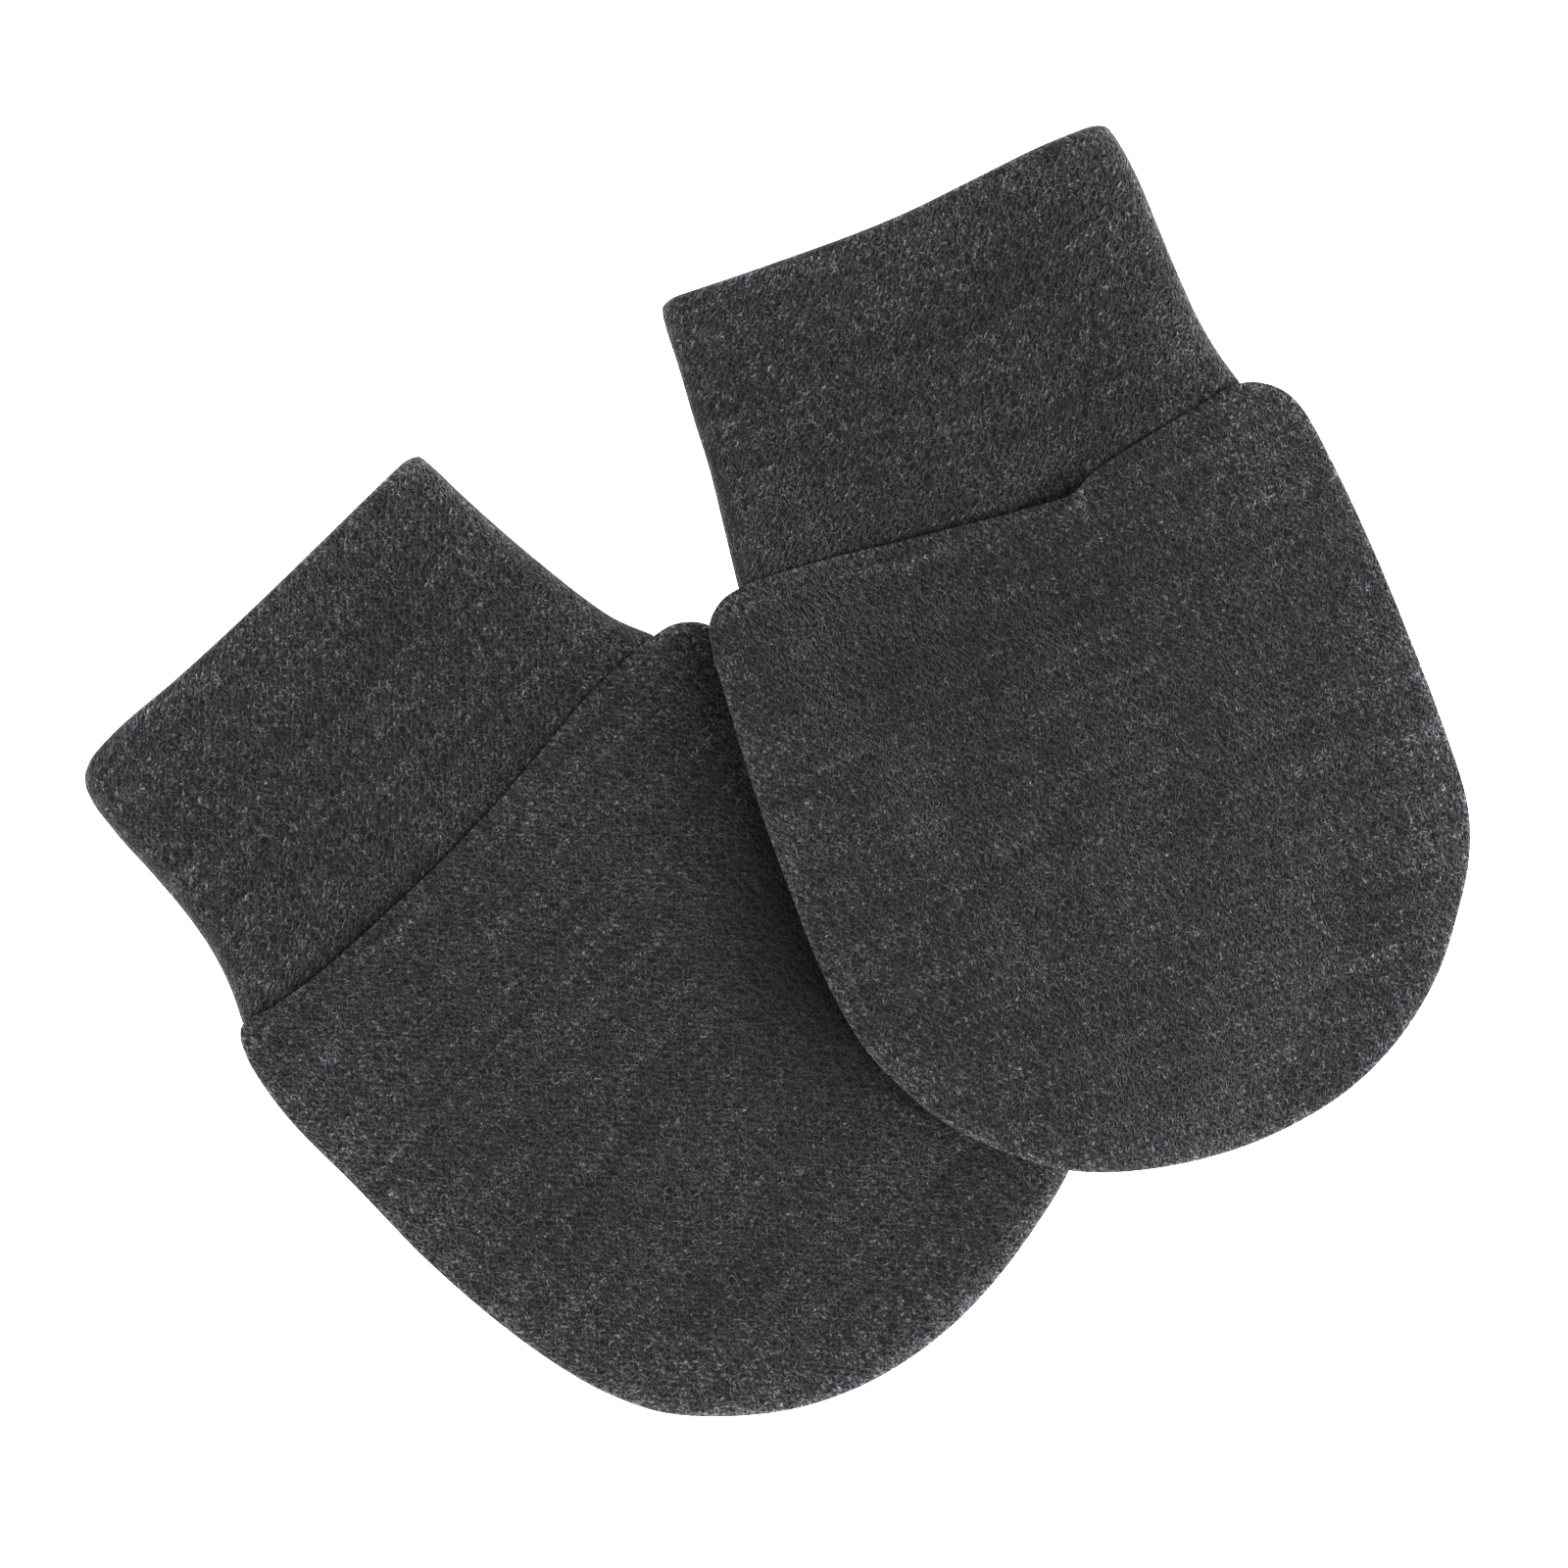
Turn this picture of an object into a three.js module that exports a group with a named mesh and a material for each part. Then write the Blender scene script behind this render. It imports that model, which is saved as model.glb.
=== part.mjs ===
import * as THREE from 'three';

const { lerp, smoothstep, degToRad } = THREE.MathUtils;

// A pair of newborn's scratch mittens without thumbs, laid flat, the right one across the left one.
// Each mitten is two U-shaped panels of interlock jersey, sewn right sides together and turned,
// and one wide strip folded double and sewn round the mouth as a cuff.
// Sizes are in millimetres. Up is +Z, and the mittens lie on the plane z = 0.

// The cloth: one ply, and the gap left wherever two pieces meet at a seam or lie on each other.
const seamGap = 0.3;
const innerGap = 0.35;
const plyWall = 1.2;

// The pouch: its height in the middle, and on the roll along the side seam and the mouth.
const pouchHeight = plyWall + innerGap + plyWall;
const rollHeight = 4.0;
const rollWidth = 2.6;
const rollFade = 11.0;
// The turned-in seam allowance thickens both panels near the seam, out to this distance.
const allowanceStart = 2.0;
const allowanceEnd = 9.0;
const allowanceHeight = 0.5;

// The cuff: two plies a side, its total height, and how far the pouch's mouth hangs over its end.
// The stitching presses it thinner at that end.
const cuffWall = 1.5;
const cuffSlit = 0.3;
const cuffHeight = cuffWall + cuffSlit + cuffWall;
const cuffEndWall = 1.1;
const cuffEndHeight = cuffEndWall + cuffSlit + cuffEndWall;
const pressLength = 5.0;
const foldPuff = 0.25;
const foldPuffLength = 5.0;
const mouthOverhang = 1.5;
const mouthTrim = mouthOverhang + seamGap;
const cuffEndTaper = 0.5;

// The right mitten lies on the left one: it keeps the height of the left one's roll this far in from
// the left one's hidden edge, has sunk to its middle this far in, and takes this far to reach the table.
// Its back takes longer than its palm, and bridges the step with some air in the pouch.
const crestWidth = 6.0;
const crestFade = 18.0;
const drapeLength = 13.0;
const bridgeLength = 42.0;

// Where the roll's section turns: in from the outline, and up from the edge as a share of its height.
const upperRim = [
  { inset: 0.6, rise: 0.0 },
  { inset: 0.0, rise: 0.38 },
  { inset: 0.3, rise: 0.7 },
  { inset: 1.2, rise: 0.93 },
  { inset: 2.6, rise: 1.0 },
];
const lowerRim = [
  { inset: 1.0, rise: 0.0 },
  { inset: 0.35, rise: 0.18 },
  { inset: 0.0, rise: 0.55 },
  { inset: 0.6, rise: 1.0 },
];

// Distances in from the outline of the rings that carry each broad face.
const topInsets = [4.5, 7.0, 10.0, 14.5, 20.5, 28.0];
const undersideInsets = [28.0, 20.5, 14.0, 7.5, 3.0, 2.1];
const bottomInsets = [28.0, 20.5, 14.0, 7.5, 3.5];
const insideInsets = [3.0, 7.5, 14.0, 20.5, 28.0];

// In a mitten's own frame X runs across it and +Y points out of the cuff. "along" counts from the
// cuff seam towards the fingertips, "left" and "right" are distances from the mitten's middle line.
const leftMitten = {
  name: 'left',
  turn: 43.5,
  seamCentre: { x: -34.4, y: -6.4 },
  mouth: [
    { across: -29.9, along: -0.3 },
    { across: -25.8, along: 0.6 },
    { across: -20.6, along: 1.3 },
    { across: -10.3, along: 1.6 },
    { across: 0.0, along: 1.5 },
    { across: 10.3, along: 0.7 },
    { across: 20.6, along: -0.4 },
    { across: 29.7, along: -0.2 },
  ],
  pouch: [
    { along: 0.4, left: 30.9, right: 32.1 },
    { along: 2.1, left: 31.8, right: 34.1 },
    { along: 4.6, left: 32.5, right: 35.1 },
    { along: 10.3, left: 33.2, right: 35.5 },
    { along: 20.6, left: 33.0, right: 35.9 },
    { along: 30.9, left: 32.9, right: 36.1 },
    { along: 41.2, left: 31.9, right: 35.9 },
    { along: 49.4, left: 30.3, right: 35.4 },
    { along: 54.6, left: 28.6, right: 34.6 },
    { along: 59.7, left: 25.9, right: 32.8 },
    { along: 64.9, left: 21.0, right: 29.8 },
    { along: 69.5, left: 14.6, right: 25.0 },
    { along: 72.7, left: 6.6, right: 14.9 },
  ],
  tip: { across: 3.5, along: 74.0 },
  opening: [
    { across: -23.0, along: -31.6 },
    { across: -19.0, along: -31.9 },
    { across: -10.0, along: -31.5 },
    { across: 24.0, along: -31.6 },
  ],
  cuff: [
    { along: -31.6, left: 22.7, right: 23.9 },
    { along: -30.9, left: 23.8, right: 24.7 },
    { along: -30.0, left: 24.6, right: 24.9 },
    { along: -28.8, left: 25.1, right: 25.0 },
    { along: -24.7, left: 25.7, right: 25.2 },
    { along: -18.5, left: 25.9, right: 25.7 },
    { along: -12.4, left: 26.3, right: 26.4 },
    { along: -8.2, left: 27.0, right: 27.0 },
    { along: -4.1, left: 28.2, right: 27.9 },
    { along: 0.0, left: 29.9, right: 29.7 },
  ],
  dents: [
    { across: -6.0, along: 14.0, length: 20.0, width: 4.5, turn: 4.0, depth: 0.3 },
    { across: 4.0, along: 33.0, length: 16.0, width: 5.0, turn: -6.0, depth: 0.25 },
    { across: -8.0, along: 52.0, length: 14.0, width: 5.0, turn: 10.0, depth: 0.25 },
  ],
};
const rightMitten = {
  name: 'right',
  turn: 21.9,
  seamCentre: { x: 22.9, y: 29.7 },
  mouth: [
    { across: -29.1, along: -0.2 },
    { across: -20.6, along: 0.2 },
    { across: -11.3, along: 1.5 },
    { across: -3.1, along: 2.6 },
    { across: 2.6, along: 3.3 },
    { across: 7.2, along: 3.6 },
    { across: 9.8, along: 2.4 },
    { across: 15.5, along: 1.2 },
    { across: 21.6, along: 0.2 },
    { across: 28.0, along: -0.6 },
  ],
  pouch: [
    { along: 0.4, left: 31.4, right: 30.4 },
    { along: 2.1, left: 33.3, right: 32.1 },
    { along: 4.6, left: 34.0, right: 33.1 },
    { along: 10.3, left: 34.6, right: 33.8 },
    { along: 20.6, left: 35.5, right: 34.4 },
    { along: 30.9, left: 35.9, right: 34.5 },
    { along: 41.2, left: 35.9, right: 34.3 },
    { along: 49.4, left: 34.8, right: 33.6 },
    { along: 54.6, left: 32.8, right: 31.7 },
    { along: 59.7, left: 30.0, right: 28.3 },
    { along: 64.9, left: 25.3, right: 23.9 },
    { along: 69.5, left: 19.4, right: 17.8 },
    { along: 72.7, left: 10.6, right: 10.3 },
  ],
  tip: { across: 0.0, along: 74.0 },
  opening: [
    { across: -24.5, along: -31.3 },
    { across: -14.0, along: -30.7 },
    { across: 2.0, along: -30.4 },
    { across: 10.0, along: -31.0 },
    { across: 18.0, along: -31.6 },
    { across: 24.5, along: -31.6 },
  ],
  cuff: [
    { along: -31.2, left: 24.7, right: 24.1 },
    { along: -30.7, left: 25.4, right: 24.8 },
    { along: -30.0, left: 25.7, right: 25.2 },
    { along: -28.8, left: 25.9, right: 25.5 },
    { along: -24.7, left: 26.2, right: 26.0 },
    { along: -18.5, left: 26.8, right: 26.1 },
    { along: -12.4, left: 27.3, right: 26.2 },
    { along: -8.2, left: 27.9, right: 26.4 },
    { along: -4.1, left: 28.5, right: 27.0 },
    { along: 0.0, left: 29.1, right: 28.0 },
  ],
  dents: [
    { across: -10.0, along: 12.0, length: 20.0, width: 4.5, turn: -8.0, depth: 0.35 },
    { across: 8.0, along: 21.0, length: 18.0, width: 4.5, turn: -12.0, depth: 0.3 },
    { across: -2.0, along: 40.0, length: 18.0, width: 5.0, turn: 8.0, depth: 0.2 },
    { across: 4.0, along: 36.0, length: 26.0, width: 19.0, turn: 0.0, depth: -0.8 },
  ],
};

const leftCloth = { color: 0x3d3c3e, roughness: 0.95, metalness: 0.0 };
const rightCloth = { color: 0x3e3d3f, roughness: 0.95, metalness: 0.0 };

// The value in one column of a table at a place between its rows.
function readTable(table, placeColumn, valueColumn, place) {
  const last = table.length - 1;
  if (place <= table[0][placeColumn]) {
    return table[0][valueColumn];
  }
  for (let row = 0; row < last; row += 1) {
    const start = table[row];
    const end = table[row + 1];
    if (place <= end[placeColumn]) {
      const share = (place - start[placeColumn]) / (end[placeColumn] - start[placeColumn]);
      return lerp(start[valueColumn], end[valueColumn], share);
    }
  }
  return table[last][valueColumn];
}

// The pouch's outline: along the mouth, down the right side, round the tip and up the left side.
function pouchOutline(mitten, pointsPerSpan) {
  const mouth = mitten.mouth.map((row) => new THREE.Vector3(row.across, -row.along, 0));
  const rightSide = mitten.pouch.map((row) => new THREE.Vector3(row.right, -row.along, 0));
  const tip = new THREE.Vector3(mitten.tip.across, -mitten.tip.along, 0);
  const leftSide = mitten.pouch.map((row) => new THREE.Vector3(-row.left, -row.along, 0)).reverse();
  const knots = [...mouth, ...rightSide, tip, ...leftSide];
  const curve = new THREE.CatmullRomCurve3(knots, true, 'centripetal');
  return curve.getPoints(knots.length * pointsPerSpan).slice(0, -1);
}

// A ray for each outline point, from the pouch's middle. Rings are the outline drawn in along the rays.
function pouchRays(mitten, pointsPerSpan) {
  const middle = new THREE.Vector3(0, -mitten.tip.along / 2, 0);
  return pouchOutline(mitten, pointsPerSpan).map((edge) => ({ middle, edge, mouth: mouthShare(mitten, edge) }));
}

// 1 on the stretch of the outline that lies on the cuff, 0 round the sides, with a ramp at each shoulder.
function mouthShare(mitten, edge) {
  const shoulderStart = -0.3;
  const shoulderEnd = 1.2;
  const leftEnd = -mitten.mouth[0].across;
  const rightEnd = mitten.mouth[mitten.mouth.length - 1].across;
  const beyond = edge.x < 0 ? -edge.x - leftEnd : edge.x - rightEnd;
  const onMouthSide = edge.y > -mitten.tip.along / 2;
  return onMouthSide ? 1 - smoothstep(beyond, shoulderStart, shoulderEnd) : 0;
}

// 1 where the lower panel is trimmed back to let the cuff's end in, just beyond the cuff's corners too.
function trimShare(mitten, edge) {
  const cornerStart = 1.0;
  const cornerEnd = 2.8;
  const leftEnd = -mitten.mouth[0].across;
  const rightEnd = mitten.mouth[mitten.mouth.length - 1].across;
  const beyond = edge.x < 0 ? -edge.x - leftEnd : edge.x - rightEnd;
  const onMouthSide = edge.y > -mitten.tip.along / 2;
  return onMouthSide ? 1 - smoothstep(beyond, cornerStart, cornerEnd) : 0;
}

// The point on a ray at a distance in from the outline, at a height.
function onRay(ray, inset, height) {
  const reach = Math.abs(ray.middle.y);
  const share = 1 - inset / reach;
  const point = new THREE.Vector3().lerpVectors(ray.middle, ray.edge, share);
  point.z = height;
  return point;
}

// The turned-in seam allowance's part of a panel's height: full at the seam and gone in the middle.
function allowance(inset) {
  return allowanceHeight * (1 - smoothstep(inset, allowanceStart, allowanceEnd));
}

// Height of the lower panel's inner face, lowered at the mouth to meet the cuff's lower wall.
function insideHeight(ray, inset) {
  const mouthDrop = plyWall + allowanceHeight - cuffEndWall;
  const nearMouth = ray.mouth * (1 - smoothstep(inset, allowanceStart, allowanceEnd));
  return plyWall + allowance(inset) - mouthDrop * nearMouth;
}

// Height of the upper panel's underside: on the lower panel, but raised where it passes over the cuff.
function undersideHeight(ray, inset) {
  const onPanel = plyWall + innerGap + allowance(inset);
  const onCuff = cuffEndHeight + seamGap;
  const pastCuff = smoothstep(inset, mouthTrim + seamGap, mouthTrim + 4 * seamGap);
  return lerp(onPanel, onCuff, ray.mouth * (1 - pastCuff));
}

// Height of the upper panel's top inside the roll, before its dents.
function topHeight(inset) {
  return lerp(rollHeight, pouchHeight, smoothstep(inset, rollWidth, rollFade));
}

// How far the upper panel takes to come down to the table: as the lower one at the rim, longer inside.
function bridgeAt(inset) {
  return lerp(drapeLength, bridgeLength, smoothstep(inset, rollWidth, rollFade));
}

// How deep the soft dents of a mitten are at a point. A dent of negative depth is a soft swelling.
function dentDepth(mitten, point) {
  let depth = 0;
  for (const dent of mitten.dents) {
    const turn = degToRad(dent.turn);
    const x = point.x - dent.across;
    const y = point.y + dent.along;
    const lengthwise = (x * Math.cos(turn) + y * Math.sin(turn)) / dent.length;
    const crosswise = (y * Math.cos(turn) - x * Math.sin(turn)) / dent.width;
    depth += dent.depth * Math.exp(-2 * (lengthwise * lengthwise + crosswise * crosswise));
  }
  return depth;
}

// A closed body through rings of equal length. It is capped with a point at each end, or, with no
// caps, its last ring joins its first.
function ringBody(rings, caps) {
  const around = rings[0].length;
  const points = rings.flat();
  const faces = [];
  const joined = caps ? rings.length - 1 : rings.length;
  for (let ring = 0; ring < joined; ring += 1) {
    const here = ring * around;
    const next = ((ring + 1) % rings.length) * around;
    for (let step = 0; step < around; step += 1) {
      const side = (step + 1) % around;
      faces.push(here + step, next + step, next + side);
      faces.push(here + step, next + side, here + side);
    }
  }
  if (caps) {
    const first = points.push(caps.first) - 1;
    const last = points.push(caps.last) - 1;
    const end = (rings.length - 1) * around;
    for (let step = 0; step < around; step += 1) {
      const side = (step + 1) % around;
      faces.push(first, step, side);
      faces.push(last, end + side, end + step);
    }
  }
  const geometry = new THREE.BufferGeometry();
  geometry.setAttribute('position', new THREE.Float32BufferAttribute(points.flatMap((p) => [p.x, p.y, p.z]), 3));
  geometry.setIndex(faces);
  geometry.computeVertexNormals();
  return geometry;
}

// The panel on top: from the middle of its underside out to the rim, over the roll and back in.
function upperPanel(mitten, lift) {
  const rays = pouchRays(mitten, 2);
  const underside = undersideInsets.map((inset) => rays.map((ray) => {
    return lift(onRay(ray, inset, undersideHeight(ray, inset)), bridgeAt(inset));
  }));
  const rim = upperRim.map(({ inset, rise }) => rays.map((ray) => {
    const edgeHeight = undersideHeight(ray, 0);
    return lift(onRay(ray, inset, lerp(edgeHeight, rollHeight, rise)), bridgeAt(inset));
  }));
  const top = topInsets.map((inset) => rays.map((ray) => {
    const point = onRay(ray, inset, topHeight(inset));
    point.z -= dentDepth(mitten, point);
    return lift(point, bridgeAt(inset));
  }));
  const first = rays[0].middle.clone();
  first.z = plyWall + innerGap;
  const last = rays[0].middle.clone();
  last.z = pouchHeight - dentDepth(mitten, last);
  const caps = { first: lift(first, bridgeLength), last: lift(last, bridgeLength) };
  return ringBody([...underside, ...rim, ...top], caps);
}

// The panel beneath: flat where it lies, curling up round its rim to the side seam. Its mouth edge is
// set back from the outline to let the cuff's end in.
function lowerPanel(mitten, lift) {
  const rays = pouchRays(mitten, 2);
  for (const ray of rays) {
    ray.trim = mouthTrim * trimShare(mitten, ray.edge);
    ray.edge = new THREE.Vector3(ray.edge.x, ray.edge.y - ray.trim, 0);
  }
  const bottom = bottomInsets.map((inset) => rays.map((ray) => onRay(ray, inset, 0)));
  const rim = lowerRim.map(({ inset, rise }) => rays.map((ray) => {
    return onRay(ray, inset, rise * insideHeight(ray, inset + ray.trim));
  }));
  const inside = insideInsets.map((inset) => rays.map((ray) => {
    return onRay(ray, inset, insideHeight(ray, inset + ray.trim));
  }));
  const first = rays[0].middle.clone();
  const last = rays[0].middle.clone();
  last.z = plyWall;
  const rings = [...bottom, ...rim, ...inside];
  for (const point of [...rings.flat(), first, last]) {
    lift(point, drapeLength);
  }
  return ringBody(rings, { first, last });
}

// A flat tube's section, round at both sides: over the top from left to right and back beneath.
function cuffLoop(left, right, bottom, top) {
  const flatSteps = 14;
  const arcSteps = 4;
  const radius = (top - bottom) / 2;
  const loop = [];
  for (let step = 0; step < flatSteps; step += 1) {
    loop.push({ x: lerp(-left + radius, right - radius, step / flatSteps), z: top });
  }
  for (let step = 0; step < arcSteps; step += 1) {
    const angle = (Math.PI * step) / arcSteps;
    loop.push({ x: right - radius + radius * Math.sin(angle), z: bottom + radius + radius * Math.cos(angle) });
  }
  for (let step = 0; step < flatSteps; step += 1) {
    loop.push({ x: lerp(right - radius, -left + radius, step / flatSteps), z: bottom });
  }
  for (let step = 0; step < arcSteps; step += 1) {
    const angle = (Math.PI * step) / arcSteps;
    loop.push({ x: -left + radius - radius * Math.sin(angle), z: bottom + radius - radius * Math.cos(angle) });
  }
  return loop;
}

// The cuff: a strip folded double, so its opening is a rounded fold and its other end lies in the mouth.
// Each ring is a section of the tube, from the outer face at depth 0 to the inner face at depth 1.
function cuffTube(mitten, lift) {
  const opening = mitten.cuff[0].along;
  const length = -opening + mouthOverhang;
  const fold = cuffWall / 2;
  const foldSlant = fold * (1 - Math.SQRT1_2);
  const bodyBacks = mitten.cuff.slice(1).map((row) => row.along - opening);
  const outside = [length, ...bodyBacks.reverse(), fold].map((back) => ({ back, depth: 0 }));
  const turned = [
    { back: foldSlant, depth: (1 - Math.SQRT1_2) / 2 },
    { back: 0, depth: 0.5 },
    { back: foldSlant, depth: (1 + Math.SQRT1_2) / 2 },
  ];
  const insideBacks = [fold, length * 0.35, length * 0.7, length];
  const inside = insideBacks.map((back) => ({ back, depth: 1 }));
  const rings = [...outside, ...turned, ...inside].map(({ back, depth }) => {
    const along = opening + back;
    const pastSeam = Math.max(0, along) / mouthOverhang;
    const sideInset = depth * (cuffWall + cuffSlit) + cuffEndTaper * pastSeam;
    const left = readTable(mitten.cuff, 'along', 'left', along) - sideInset;
    const right = readTable(mitten.cuff, 'along', 'right', along) - sideInset;
    const puff = foldPuff * (1 - smoothstep(back, 0, foldPuffLength));
    const pressed = smoothstep(along, -pressLength, 0);
    const wall = lerp(cuffWall, cuffEndWall, pressed);
    const bottom = depth * wall;
    const top = lerp(cuffHeight, cuffEndHeight, pressed) + puff - depth * (wall + puff);
    return cuffLoop(left, right, bottom, top).map(({ x, z }) => {
      const openingAlong = readTable(mitten.opening, 'across', 'along', x);
      const endAlong = readTable(mitten.mouth, 'across', 'along', x) + mouthOverhang;
      return new THREE.Vector3(x, -lerp(openingAlong, endAlong, back / length), z);
    });
  });
  for (const point of rings.flat()) {
    lift(point, drapeLength);
  }
  return ringBody(rings.reverse(), null);
}

// A point of one mitten's frame in the frame of the table, and back into another mitten's frame.
function toTable(mitten, point) {
  const turned = new THREE.Vector2(point.x, point.y).rotateAround(new THREE.Vector2(), degToRad(mitten.turn));
  return turned.add(new THREE.Vector2(mitten.seamCentre.x, mitten.seamCentre.y));
}
function fromTable(mitten, place) {
  const moved = place.clone().sub(new THREE.Vector2(mitten.seamCentre.x, mitten.seamCentre.y));
  return moved.rotateAround(new THREE.Vector2(), -degToRad(mitten.turn));
}

// How far inside a mitten's outline a place lies, measured along the ray through it.
function insetAt(mitten, rays, place) {
  const middle = rays[0].middle;
  const offset = new THREE.Vector2(place.x - middle.x, place.y - middle.y);
  for (let index = 0; index < rays.length; index += 1) {
    const from = rays[index].edge;
    const to = rays[(index + 1) % rays.length].edge;
    const a = new THREE.Vector2(from.x - middle.x, from.y - middle.y);
    const b = new THREE.Vector2(to.x - middle.x, to.y - middle.y);
    const area = a.cross(b);
    const shareA = offset.cross(b) / area;
    const shareB = a.cross(offset) / area;
    if (shareA >= 0 && shareB >= 0) {
      return (1 - shareA - shareB) * Math.abs(middle.y);
    }
  }
  return Math.abs(middle.y);
}

// The right mitten is lifted by the left one: it lies on its top, keeps the height of its roll out to
// its hidden edge, and then comes down to the table over a given length.
const leftRays = pouchRays(leftMitten, 2);
function liftOnLeft(point, length) {
  const place = fromTable(leftMitten, toTable(rightMitten, point));
  const inset = insetAt(leftMitten, leftRays, place);
  const onTop = lerp(rollHeight, pouchHeight, smoothstep(inset, crestWidth, crestFade)) + seamGap;
  const comeDown = 1 - smoothstep(-inset, 0, length);
  point.z += onTop * comeDown;
  return point;
}
function noLift(point) {
  return point;
}

// One mitten: its three pieces of cloth, in the mitten's own frame.
function mittenGroup(mitten, cloth, lift) {
  const group = new THREE.Group();
  const pieces = [
    { piece: 'palm', geometry: lowerPanel(mitten, lift) },
    { piece: 'back', geometry: upperPanel(mitten, lift) },
    { piece: 'cuff', geometry: cuffTube(mitten, lift) },
  ];
  for (const { piece, geometry } of pieces) {
    const mesh = new THREE.Mesh(geometry, new THREE.MeshStandardMaterial(cloth));
    mesh.name = `${mitten.name}_${piece}`;
    group.add(mesh);
  }
  group.rotation.z = degToRad(mitten.turn);
  group.position.set(mitten.seamCentre.x, mitten.seamCentre.y, 0);
  return group;
}

const pair = new THREE.Group();
pair.add(mittenGroup(leftMitten, leftCloth, noLift));
pair.add(mittenGroup(rightMitten, rightCloth, liftOnLeft));

// The origin is the middle of the box round the pair, on the table.
const group = new THREE.Group();
group.add(pair);
group.updateMatrixWorld(true);
const box = new THREE.Box3().setFromObject(pair, true);
const boxMiddle = box.getCenter(new THREE.Vector3());
pair.position.set(-boxMiddle.x, -boxMiddle.y, 0);

export default group;
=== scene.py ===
import math
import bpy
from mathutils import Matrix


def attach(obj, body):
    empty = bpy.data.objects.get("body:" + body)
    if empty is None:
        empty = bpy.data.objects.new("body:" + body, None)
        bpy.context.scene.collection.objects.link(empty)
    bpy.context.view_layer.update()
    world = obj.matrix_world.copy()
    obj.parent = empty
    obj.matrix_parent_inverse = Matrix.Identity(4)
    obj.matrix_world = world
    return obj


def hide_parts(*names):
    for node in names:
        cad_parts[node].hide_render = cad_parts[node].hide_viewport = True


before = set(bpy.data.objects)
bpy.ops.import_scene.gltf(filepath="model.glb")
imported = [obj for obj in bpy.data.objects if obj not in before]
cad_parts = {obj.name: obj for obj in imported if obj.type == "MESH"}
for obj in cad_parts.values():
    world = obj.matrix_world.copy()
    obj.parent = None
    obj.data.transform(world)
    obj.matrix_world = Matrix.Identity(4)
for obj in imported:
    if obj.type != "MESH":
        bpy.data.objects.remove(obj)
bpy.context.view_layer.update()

from types import SimpleNamespace

import bpy
import numpy as np


# The palm of each mitten is the panel that it lies on: one ply of charcoal interlock jersey, cut in a U.
# It is flat on the table and curls up at its rim, where a seam on the inside joins it to the back.
# The right mitten lies across the left one, so its palm is lifted over it and comes down to the table.
mm = 0.001
ply_wall = 1.2
inner_gap = 0.35
seam_gap = 0.3
pouch_height = ply_wall + inner_gap + ply_wall
roll_height = 4.0
allowance_height = 0.5
allowance_start = 2.0
allowance_end = 9.0
mouth_overhang = 1.5
mouth_trim = mouth_overhang + seam_gap
crest_width = 6.0
crest_fade = 18.0
drape_length = 21.0
bridge_start = 12.0
bridge_length = 46.0
bridge_fade = 24.0
cuff_end_wall = 1.1
seam_ends = (-0.3, 1.2)
trim_ends = (1.0, 2.8)
# Along the mouth, where the rim lies against the cuff, most of the painted rim highlight is left off.
unlit_mouth_ends = (-12.0, 2.0)
unlit_mouth_share = 0.65
# The share of the painted rim highlight that the rim gets beneath its widest line.
highlight_below = 0.35
palm_lower_rim = 1.0
palm_upper_rim = 0.6
palm_widest_rise = 0.55
points_per_span = 12


def columns(names, *rows):
    """A table: its rows as one array for each named column."""
    return SimpleNamespace(**dict(zip(names.split(), np.array(rows, float).T)))


# Tables are in millimetres in a mitten's own frame: X across it and +Y out of the cuff. "along" counts from
# the cuff seam towards the fingertips, and left and right are distances from the mitten's middle line.
# The number after each name is how strongly the colour is lightened at the edges, as a painted highlight.
left = SimpleNamespace(
    name="left",
    rim_highlight=1.3,
    turn=math.radians(43.5),
    seam_centre=(-34.326, -6.344),
    tip=(3.5, 74.0),
    mouth=columns(
        "across along",
        (-29.9, -0.3),
        (-25.8, 0.6),
        (-20.6, 1.3),
        (-10.3, 1.6),
        (0.0, 1.5),
        (10.3, 0.7),
        (20.6, -0.4),
        (29.7, -0.2),
    ),
    pouch=columns(
        "along left right",
        (0.4, 30.9, 32.1),
        (2.1, 31.8, 34.1),
        (4.6, 32.5, 35.1),
        (10.3, 33.2, 35.5),
        (20.6, 33.0, 35.9),
        (30.9, 32.9, 36.1),
        (41.2, 31.9, 35.9),
        (49.4, 30.3, 35.4),
        (54.6, 28.6, 34.6),
        (59.7, 25.9, 32.8),
        (64.9, 21.0, 29.8),
        (69.5, 14.6, 25.0),
        (72.7, 6.6, 14.9),
    ),
)
right = SimpleNamespace(
    name="right",
    rim_highlight=0.9,
    turn=math.radians(21.9),
    seam_centre=(22.974, 29.756),
    tip=(0.0, 74.0),
    mouth=columns(
        "across along",
        (-29.1, -0.2),
        (-20.6, 0.2),
        (-11.3, 1.5),
        (-3.1, 2.6),
        (2.6, 3.3),
        (7.2, 3.6),
        (9.8, 2.4),
        (15.5, 1.2),
        (21.6, 0.2),
        (28.0, -0.6),
    ),
    pouch=columns(
        "along left right",
        (0.4, 31.4, 30.4),
        (2.1, 33.3, 32.1),
        (4.6, 34.0, 33.1),
        (10.3, 34.6, 33.8),
        (20.6, 35.5, 34.4),
        (30.9, 35.9, 34.5),
        (41.2, 35.9, 34.3),
        (49.4, 34.8, 33.6),
        (54.6, 32.8, 31.7),
        (59.7, 30.0, 28.3),
        (64.9, 25.3, 23.9),
        (69.5, 19.4, 17.8),
        (72.7, 10.6, 10.3),
    ),
)


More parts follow.
